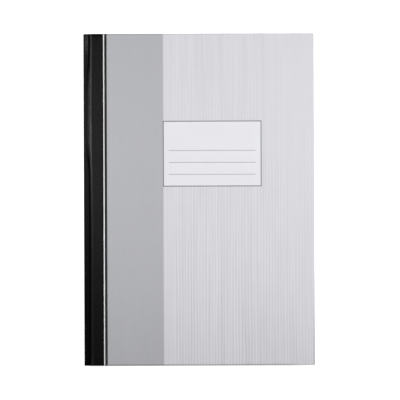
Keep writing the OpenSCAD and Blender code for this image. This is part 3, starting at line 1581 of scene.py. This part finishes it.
    def build(self, side: Side) -> None:
        """Makes one half of the strip.

        Args:
            side: The cover.
        """
        book = self.book
        bend = self.bend(self.wall_slant)
        finish = BlackLeatherette(
            name="black_leatherette",
            slot="spine_strip",
            half_length=book.strip.high.y,
            ridge=self.run_to(bend[-1][0] - self.ridge_share * self.edge_slope),
            shoulder=self.run_to((book.hinge.x + bend[0][0]) / 2),
            turn_in=book.turn_in,
            loose_span=self.loose_span,
            loose_fade=self.loose_fade,
        )
        shape = self.shape().on(side, book.thickness)
        piece = shape.piece(side.named("black_strip"), finish, book.covering)
        start_x = book.hinge.x - self.crease
        book.bend(piece, side, side.named("cover"), start_x, book.hinge.x + self.crease)
        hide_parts(side.named("spine_strip"), "spine_strip")


@dataclass(frozen=True)
class EndpaperHalf:
    """One half of an endpaper: its piece, its body, its node, its bend and which way it lies."""

    piece: str
    body: str
    node: str
    bend: Point
    is_glued: bool


@dataclass
class Endpapers:
    """A folded endpaper at each cover: one half glued to the board, the other half free."""

    book: BookFrame
    finish: Endpaper
    halves: tuple[EndpaperHalf, ...] = (
        EndpaperHalf("endpaper_glued", "cover", "pastedown", (0.3 * MM, 2.5 * MM), True),
        EndpaperHalf("endpaper_free", "flyleaf", "flyleaf", (0.3 * MM, 5.0 * MM), False),
    )
    step_width: float = 1.6 * MM
    fold_steps: int = 5
    bend_steps: int = 18

    def sunk(self, x: float, y: float) -> float:
        """How far the glued half sinks to the board between the turned-in flaps.

        Args:
            x: Place across the book.
            y: Place along the book.

        Returns:
            The share of the flaps' thickness.
        """
        to_flap = self.book.board.high.x - self.book.turn_in - x
        to_gauze = x - self.book.flange.high.x
        to_end = self.book.board.high.y - self.book.turn_in - abs(y)
        return smooth(min(to_flap, to_gauze, to_end) / self.step_width)

    def across(self, bend: Point) -> list[float]:
        """Places across the sheet, close together where it bends and where it steps.

        Args:
            bend: Where the sheet bends, from its fold.

        Returns:
            The places in order.
        """
        fold = self.book.pastedown.low.x
        gauze = self.book.flange.high.x
        flap = self.book.board.high.x - self.book.turn_in
        return [
            *spaced(fold + bend[0], fold + bend[1], self.bend_steps),
            *spaced(gauze, gauze + self.step_width, self.fold_steps),
            *spaced(flap - self.step_width, flap, self.fold_steps),
            self.book.pastedown.high.x,
        ]

    def down(self) -> list[float]:
        """Places from the head to the tail of the sheet.

        Returns:
            The places in order.
        """
        flap = self.book.board.high.y - self.book.turn_in
        steps = spaced(flap, flap - self.step_width, self.fold_steps)
        head = [self.book.pastedown.high.y, *steps]
        return head + [-y for y in reversed(head)]

    def fold(self, end: float) -> list[Point]:
        """The inside of the fold, from its back to one half.

        Args:
            end: Angle where the half starts, in degrees.

        Returns:
            The places across and upwards.
        """
        book = self.book
        gap = (book.pastedown.low.z - book.flyleaf.high.z) / 2
        middle = (book.pastedown.low.x + book.flyleaf.height + gap, book.flyleaf.high.z + gap)
        return arc(middle, gap, 180, end, self.fold_steps)

    def shape(self, half: EndpaperHalf) -> Shape:
        """A half's inner side at the front cover.

        Args:
            half: The half.

        Returns:
            The shape: the glued half's faces the leaves, and the free half's faces the board.
        """
        line = self.fold(90 if half.is_glued else 270)
        end_x, face = line[-1]
        line += [(x, face) for x in self.across(half.bend) if x > end_x]
        down = self.down()
        if not half.is_glued:
            return Shape.grid([[(x, y, z) for x, z in line] for y in reversed(down)])
        depth = self.book.board.low.z - self.book.strip.low.z
        return Shape.grid([[(x, y, z + depth * self.sunk(x, y)) for x, z in line] for y in down])

    def build(self, side: Side) -> None:
        """Makes both halves of one cover's endpaper.

        Args:
            side: The cover.
        """
        book = self.book
        fold = book.pastedown.low.x
        for half in self.halves:
            shape = self.shape(half).on(side, book.thickness)
            piece = shape.piece(side.named(half.piece), self.finish, book.flyleaf.height)
            start, end = half.bend
            book.bend(piece, side, side.named(half.body), fold + start, fold + end)
            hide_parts(side.named(half.node))


def run_nodes(
    name: str, tree: bpy.types.NodeTree, sizes: Sizes, finish: Finish
) -> bpy.types.Object:
    """Runs a tree of geometry nodes once and keeps what it makes.

    Args:
        name: Name of the piece.
        tree: The tree.
        sizes: A value for each of the tree's named sizes.
        finish: What the piece's surface is.

    Returns:
        The piece, with a plain mesh.
    """
    obj = placed(name, bpy.data.meshes.new(name))
    modifier = obj.modifiers.new(tree.name, "NODES")
    modifier.node_group = tree
    sockets = {item.name: item.identifier for item in tree.interface.items_tree}
    for label, value in {**sizes, "Finish": finish.material()}.items():
        modifier[sockets[label]] = value
    piece = plain(obj)
    if piece.data.materials[0] is None:
        piece.data.materials.pop(index=0)
    return piece


@dataclass
class TextBlock:
    """The gatherings: folded sheets nested in fours, which bend near their folds."""

    book: BookFrame
    finish: PagePaper
    bodies: frozenset[str]
    sheets: int = 4
    paper: float = 0.085 * MM
    air: float = 0.01 * MM
    trim_play: float = 0.12 * MM
    columns: int = 121
    crowding: float = 2.3
    leaf_numbers: float = 10.0
    bend_start: float = 1.2 * MM
    turned_bend: float = 14 * MM
    lifted_bend: float = 30 * MM
    turned: tuple[int, ...] = (1, 12)

    def sizes(self, number: int) -> Sizes:
        """Sizes of one gathering.

        Args:
            number: Its number from the front, which is its seed too.

        Returns:
            The sizes by name.
        """
        box = self.book.gatherings[number - 1]
        radius = box.height / 2
        fold = box.low.x + radius
        return {
            "Sheets": self.sheets,
            "Sheet Step": self.paper + self.air,
            "Paper": self.paper,
            "Outer Radius": radius,
            "Fold X": fold,
            "Middle Z": box.middle_z,
            "Leaf": box.high.x - fold,
            "Half Height": box.high.y,
            "Trim Play": self.trim_play,
            "Seed": number,
        }

    def tree(self) -> bpy.types.NodeTree:
        """Geometry nodes that nest folded sheets round one fold.

        Returns:
            The tree.
        """
        graph = Graph.geometry("Folded sheets", self.sizes(1))
        given = graph.given
        line = graph.add("GeometryNodeMeshLine", {"Count": given["Sheets"], "Offset": (0, 0, 0)})
        flat = {"Size X": 2, "Size Y": 2, "Vertices X": self.columns, "Vertices Y": 2}
        copies = graph.copied(line, graph.add("GeometryNodeMeshGrid", flat))
        index = graph.add("GeometryNodeInputIndex")
        numbered = graph.stored(copies, SHEET_NUMBER, index, "INT", "INSTANCE")
        sheets = graph.add("GeometryNodeRealizeInstances", {"Geometry": numbered})
        named = {"Name": SHEET_NUMBER}
        number = graph.add("GeometryNodeInputNamedAttribute", named, data_type="INT")
        u, _, _ = graph.split(graph.point())
        leaf = graph.math("SIGN", u) * (self.sheets + 0.5 - number)
        leaf = leaf + given["Seed"] * self.leaf_numbers
        sheets = graph.stored(sheets, LEAF_NUMBER, leaf, "FLOAT", "POINT")
        folded = graph.put(sheets, self.folded(graph, number))
        inward = {"Mesh": folded, "Offset Scale": given["Paper"] * -1.0, "Individual": False}
        walls = graph.add("GeometryNodeExtrudeMesh", inward, mode="FACES")
        both = graph.together(folded, graph.add("GeometryNodeFlipFaces", {"Mesh": walls}))
        merged = {"Geometry": both, "Distance": SAME_POINT}
        closed = graph.add("GeometryNodeMergeByDistance", merged)
        x, y, _ = graph.split(graph.point())
        from_fold = x - (given["Fold X"] - given["Outer Radius"])
        place = graph.joined(from_fold, y + given["Half Height"])
        return graph.dressed(graph.stored(closed, PATTERN_MAP, place, "FLOAT2", "CORNER"))

    def folded(self, graph: Graph, number: Value) -> Value:
        """Places of a flat sheet's points when it is folded.

        Args:
            graph: The tree's graph.
            number: Which sheet a point belongs to, from the outermost one.

        Returns:
            The places.
        """
        given = graph.given
        u, v, _ = graph.split(graph.point())
        radius = given["Outer Radius"] - number * given["Sheet Step"]
        quarter = radius * (FULL_TURN / 4)
        run = abs(u) ** self.crowding * (given["Leaf"] + quarter)
        turn = graph.math("MINIMUM", run, quarter) / radius
        which = number * 2.0 + graph.math("GREATER_THAN", u, 0.0)
        play = {RANDOM_LOW: 0.0, RANDOM_HIGH: given["Trim Play"]}
        drawn = {**play, "ID": which, "Seed": given["Seed"]}
        trimmed = graph.add("FunctionNodeRandomValue", drawn, data_type="FLOAT")
        trimmed = trimmed.out(RANDOM_RESULT)
        straight = graph.math("MAXIMUM", run - quarter, 0.0)
        bow = radius * graph.math("COSINE", turn)
        past_fold = straight * (1.0 - trimmed / given["Leaf"]) - bow
        rise = radius * graph.math("SINE", turn) * graph.math("SIGN", u)
        end = given["Half Height"] - trimmed * 0.5
        return graph.joined(given["Fold X"] + past_fold, v * end, given["Middle Z"] + rise)

    def build(self) -> None:
        """Makes each gathering, and joins those without leaves of their own to the block."""
        tree = self.tree()
        for number in range(1, len(self.book.gatherings) + 1):
            name = f"folded_sheets_{number:02d}"
            piece = run_nodes(name, tree, self.sizes(number), self.finish)
            self.hang(piece, number)
            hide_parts(f"gathering_{number:02d}")

    def hang(self, piece: bpy.types.Object, number: int) -> None:
        """Joins a gathering without leaves of its own to the block; one with its own leaves only
        has its place baked, and is not joined past its bend.

        Args:
            piece: The gathering.
            number: Its number from the front.
        """
        body = f"leaves_{number:02d}"
        if body not in self.bodies:
            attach(piece, "block")
            return
        side = Side.FRONT if number <= len(self.book.gatherings) / 2 else Side.BACK
        start_x = self.book.gatherings[0].low.x + self.bend_start
        bend = self.turned_bend if number in self.turned else self.lifted_bend
        self.book.bend(piece, side, body, start_x, start_x + bend)


@dataclass
class Sewing:
    """The thread of each gathering, in and out of its fold."""

    book: BookFrame
    finish: LinenThread
    stitches: int = 8
    stitch_end: float = 24 * MM
    tail: float = 4 * MM
    width: float = 0.2 * MM
    thickness: float = 0.09 * MM
    bend: float = 0.08 * MM
    bend_steps: int = 3
    sides: int = 6

    def sizes(self) -> Sizes:
        """Sizes of the sewing.

        Returns:
            The sizes by name.
        """
        first, second, *_ = self.book.gatherings
        half = first.high.y - self.stitch_end
        return {
            "Holes": self.stitches,
            "First Hole": -half,
            "Hole Step": 2 * half / (self.stitches - 1),
            "Tail": self.tail,
            "Outside X": first.low.x - self.width / 2,
            "Inside X": first.low.x + first.height / 2 + self.width / 2,
            "Rows": len(self.book.gatherings),
            "First Row": first.middle_z,
            "Row Step": second.low.z - first.low.z,
            "Width": self.width,
            "Thickness": self.thickness,
            "Bend": self.bend,
        }

    def tree(self) -> bpy.types.NodeTree:
        """Geometry nodes that lay one thread through its holes and repeat it.

        Returns:
            The tree.
        """
        graph = Graph.geometry("Sewn thread", self.sizes())
        given = graph.given
        count = given["Holes"] * 2.0 + 2.0
        points = graph.add("GeometryNodeMeshLine", {"Count": count, "Offset": (0, 1, 0)})
        laid = graph.put(points, self.route(graph, count))
        curve = graph.add("GeometryNodeMeshToCurve", {"Mesh": laid})
        level = graph.add("GeometryNodeSetCurveNormal", {"Curve": curve}, mode="Z_UP")
        corners = {"Count": self.bend_steps, "Radius": given["Bend"], "Limit Radius": True}
        rounded = graph.add("GeometryNodeFilletCurve", {"Curve": level, **corners}, mode="POLY")
        circle = {"Resolution": self.sides, "Radius": 0.5}
        flattened = {
            "Geometry": graph.add("GeometryNodeCurvePrimitiveCircle", circle),
            "Scale": graph.joined(given["Width"], given["Thickness"], 1.0),
        }
        oval = graph.add("GeometryNodeTransform", flattened)
        rows = {
            "Count": given["Rows"],
            "Start Location": graph.joined(0.0, 0.0, given["First Row"]),
            "Offset": graph.joined(0.0, 0.0, given["Row Step"]),
        }
        line = graph.add("GeometryNodeMeshLine", rows)
        return graph.dressed(graph.copied(line, graph.swept(rounded, oval)))

    def route(self, graph: Graph, count: Value) -> Value:
        """Places of the thread's corners: two at each hole, and a free end past the outer ones.

        Args:
            graph: The tree's graph.
            count: Number of corners.

        Returns:
            The places.
        """
        given = graph.given
        index = graph.add("GeometryNodeInputIndex")
        inner = index - 1.0
        hole = graph.math("MAXIMUM", graph.math("FLOOR", inner / 2.0), 0.0)
        hole = graph.math("MINIMUM", hole, given["Holes"] - 1.0)
        at_start = graph.math("LESS_THAN", index, 0.5)
        at_end = graph.math("GREATER_THAN", index, count - 1.5)
        inside = graph.math("FLOORED_MODULO", hole + inner, 2.0) * (1.0 - at_end - at_start)
        x = inside * (given["Inside X"] - given["Outside X"]) + given["Outside X"]
        y = hole * given["Hole Step"] + given["First Hole"]
        return graph.joined(x, y + (at_end - at_start) * given["Tail"])

    def build(self) -> None:
        """Makes all the threads, which stay with the folds."""
        piece = run_nodes("sewn_threads", self.tree(), self.sizes(), self.finish)
        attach(piece, "block")
        numbers = range(1, len(self.book.gatherings) + 1)
        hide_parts(*(f"sewing_thread_{k:02d}" for k in numbers))


@dataclass
class Bands:
    """The head and tail bands: yarn wound on a core, on a tape glued to the folds."""

    book: BookFrame
    finish: BandYarn
    bead: float = 1.6 * MM
    tape: float = 0.15 * MM
    yarn: float = 0.36 * MM
    yarn_fill: float = 0.52
    end_gap: float = 0.12 * MM
    turn_steps: int = 16
    yarn_sides: int = 6
    core_sides: int = 16

    def sizes(self, way: int) -> Sizes:
        """Sizes of one band.

        Args:
            way: 1 for the head band and -1 for the tail band.

        Returns:
            The sizes by name.
        """
        box = self.book.band
        bead_y = box.high.y - self.bead / 2
        tape_length = bead_y - box.low.y
        tape_y = box.low.y + tape_length / 2
        return {
            "Bead": self.bead,
            "Yarn": self.yarn,
            "Length": box.height - 2 * self.end_gap,
            "Centre": (box.low.x + self.bead / 2, way * bead_y, box.middle_z),
            "Tape Size": (self.tape, tape_length, box.height),
            "Tape Centre": (box.low.x + self.tape / 2, way * tape_y, box.middle_z),
        }

    def tree(self) -> bpy.types.NodeTree:
        """Geometry nodes that wind yarn on a core and lay the tape beside it.

        Returns:
            The tree.
        """
        graph = Graph.geometry("Wound band", self.sizes(1))
        bead, yarn, length = (graph.given[name] for name in ("Bead", "Yarn", "Length"))
        winding = (bead - yarn) * 0.5
        inner = length - yarn
        turns = {
            "Resolution": self.turn_steps,
            "Rotations": inner / yarn,
            "Start Radius": winding,
            "End Radius": winding,
            "Height": inner,
        }
        strand = {"Resolution": self.yarn_sides, "Radius": yarn * self.yarn_fill}
        wound = graph.swept(
            graph.add("GeometryNodeCurveSpiral", turns),
            graph.add("GeometryNodeCurvePrimitiveCircle", strand),
        )
        lowered = graph.moved(wound, graph.joined(0.0, 0.0, inner * -0.5))
        rod = {"Vertices": self.core_sides, "Radius": winding, "Depth": length}
        core = graph.add("GeometryNodeMeshCylinder", rod)
        roll = graph.moved(graph.together(lowered, core), graph.given["Centre"])
        tape = graph.add("GeometryNodeMeshCube", {"Size": graph.given["Tape Size"]})
        glued = graph.moved(tape, graph.given["Tape Centre"])
        return graph.dressed(graph.together(roll, glued))

    def build(self) -> None:
        """Makes both bands, on the block."""
        tree = self.tree()
        for name, way in (("head_band", 1), ("tail_band", -1)):
            piece = run_nodes(f"{name}_winding", tree, self.sizes(way), self.finish)
            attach(piece, "block")
            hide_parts(name)


@dataclass(frozen=True)
class Lamp:
    """A soft lamp that faces the middle of the book; its power is in watts."""

    name: str
    place: Place
    size: Point
    power: float

    def hang(self) -> None:
        """Hangs the lamp at its place."""
        data = bpy.data.lights.new(self.name, "AREA")
        data.shape = "RECTANGLE"
        data.size, data.size_y = self.size
        data.energy = self.power
        lamp = placed(self.name, data)
        lamp.location = self.place
        lamp.rotation_mode = "QUATERNION"
        lamp.rotation_quaternion = (-Vector(self.place)).to_track_quat("-Z", "Y")


@dataclass
class Stage:
    """A white studio: the floor, the soft light and the camera straight above the book."""

    book: BookFrame
    picture_width: float = 365.4 * MM
    lens: float = 200.0
    sensor: float = 36.0
    aim: Point = (0.82 * MM, -0.43 * MM)
    roll: float = -0.21
    floor_size: float = 8.0
    floor_gap: float = 0.02 * MM
    floor_grey: float = 0.86
    floor_lift: float = 0.76
    ambient: float = 0.36
    lamps: tuple[Lamp, ...] = (
        Lamp("head_lamp", (0.4, 2.6, 2.2), (1.3, 1.3), 18.0),
        Lamp("overhead_lamp", (-0.15, 0.07, 1.25), (0.3, 0.2), 2.6),
        Lamp("left_lamp", (-0.36, 0.068, 0.32), (0.06, 0.27), 0.54),
        Lamp("right_lamp", (0.47, 0.1, 0.4), (0.12, 0.3), 1.4),
    )

    @staticmethod
    def white_rays(graph: Graph) -> Value:
        """1 for rays that show the backdrop: seen straight, reflected or through glass.

        Args:
            graph: Graph of a material or of the world.

        Returns:
            The mask.
        """
        path = graph.add("ShaderNodeLightPath")
        seen = graph.math("MAXIMUM", path.out("Is Camera Ray"), path.out("Is Glossy Ray"))
        return graph.math("MAXIMUM", seen, path.out("Is Transmission Ray"))

    def floor(self) -> None:
        """Lays a white floor that keeps the book's shadow."""
        h = self.floor_size / 2
        mesh = bpy.data.meshes.new("studio_floor")
        corners = [(x, y, -self.floor_gap) for x, y in ((-h, -h), (h, -h), (h, h), (-h, h))]
        mesh.from_pydata(corners, [], [(0, 1, 2, 3)])
        material = bpy.data.materials.new("studio_floor")
        graph = Graph.of(material)
        matt = graph.add("ShaderNodeBsdfDiffuse", {"Color": (*[self.floor_grey] * 3, 1.0)})
        lift = self.white_rays(graph) * self.floor_lift
        glow = graph.add("ShaderNodeEmission", {"Strength": lift})
        both = graph.add("ShaderNodeAddShader", {0: matt, 1: glow})
        graph.add("ShaderNodeOutputMaterial", {"Surface": both})
        mesh.materials.append(material)
        placed("studio_floor", mesh)

    def world(self) -> None:
        """Lights the room evenly and shows it white."""
        world = bpy.data.worlds.new("studio")
        graph = Graph.of(world)
        strength = self.white_rays(graph) * (1.0 - self.ambient) + self.ambient
        white = {"Color": (1.0, 1.0, 1.0, 1.0), "Strength": strength}
        light = graph.add("ShaderNodeBackground", white)
        graph.add("ShaderNodeOutputWorld", {"Surface": light})
        bpy.context.scene.world = world

    def camera(self) -> None:
        """Sets the camera straight above the cover."""
        data = bpy.data.cameras.new("camera")
        data.lens = self.lens
        data.sensor_width = self.sensor
        camera = placed("camera", data)
        height = self.book.thickness + self.picture_width * self.lens / self.sensor
        camera.location = (*self.aim, height)
        camera.rotation_euler = (0, 0, math.radians(self.roll))
        bpy.context.scene.camera = camera

    def build(self) -> None:
        """Sets up the whole stage."""
        self.camera()
        self.floor()
        self.world()
        for lamp in self.lamps:
            lamp.hang()
        bpy.context.scene.view_settings.view_transform = "Standard"


def dress_hidden_nodes(nodes: dict[str, bpy.types.Object]) -> None:
    """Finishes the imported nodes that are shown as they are.

    Args:
        nodes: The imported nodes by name.
    """
    board = GreyBoard("grey_board", "board")
    gauze = Gauze("starched_gauze", "gauze")
    for name in ("front_board", "back_board", "spine_inlay"):
        board.dress(nodes[name])
    for name in ("front_gauze_flange", "back_gauze_flange", "spine_gauze"):
        gauze.dress(nodes[name])


def main() -> None:
    """Builds the register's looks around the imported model."""
    logging.basicConfig(level=logging.INFO, format="%(name)s: %(message)s")
    for leftover in list(bpy.data.objects):
        bpy.data.objects.remove(leftover)
    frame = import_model()
    book = BookFrame.read(frame)
    leaf = book.gatherings[0]
    page = PagePaper("ruled_page", "page_paper", leaf.high.x - leaf.low.x, 2 * leaf.high.y)
    Stage(book).build()
    for side in Side:
        CoverWrap(book).build(side)
        BlackStrip(book).build(side)
        Endpapers(book, Endpaper("laid_endpaper", "endpaper")).build(side)
    TextBlock(book, page, frozenset(frame["bodies"])).build()
    Sewing(book, LinenThread("linen_thread", "thread")).build()
    Bands(book, BandYarn("band_yarn", "band")).build()
    dress_hidden_nodes(frame["nodes"])


if __name__ == "__main__":
    main()
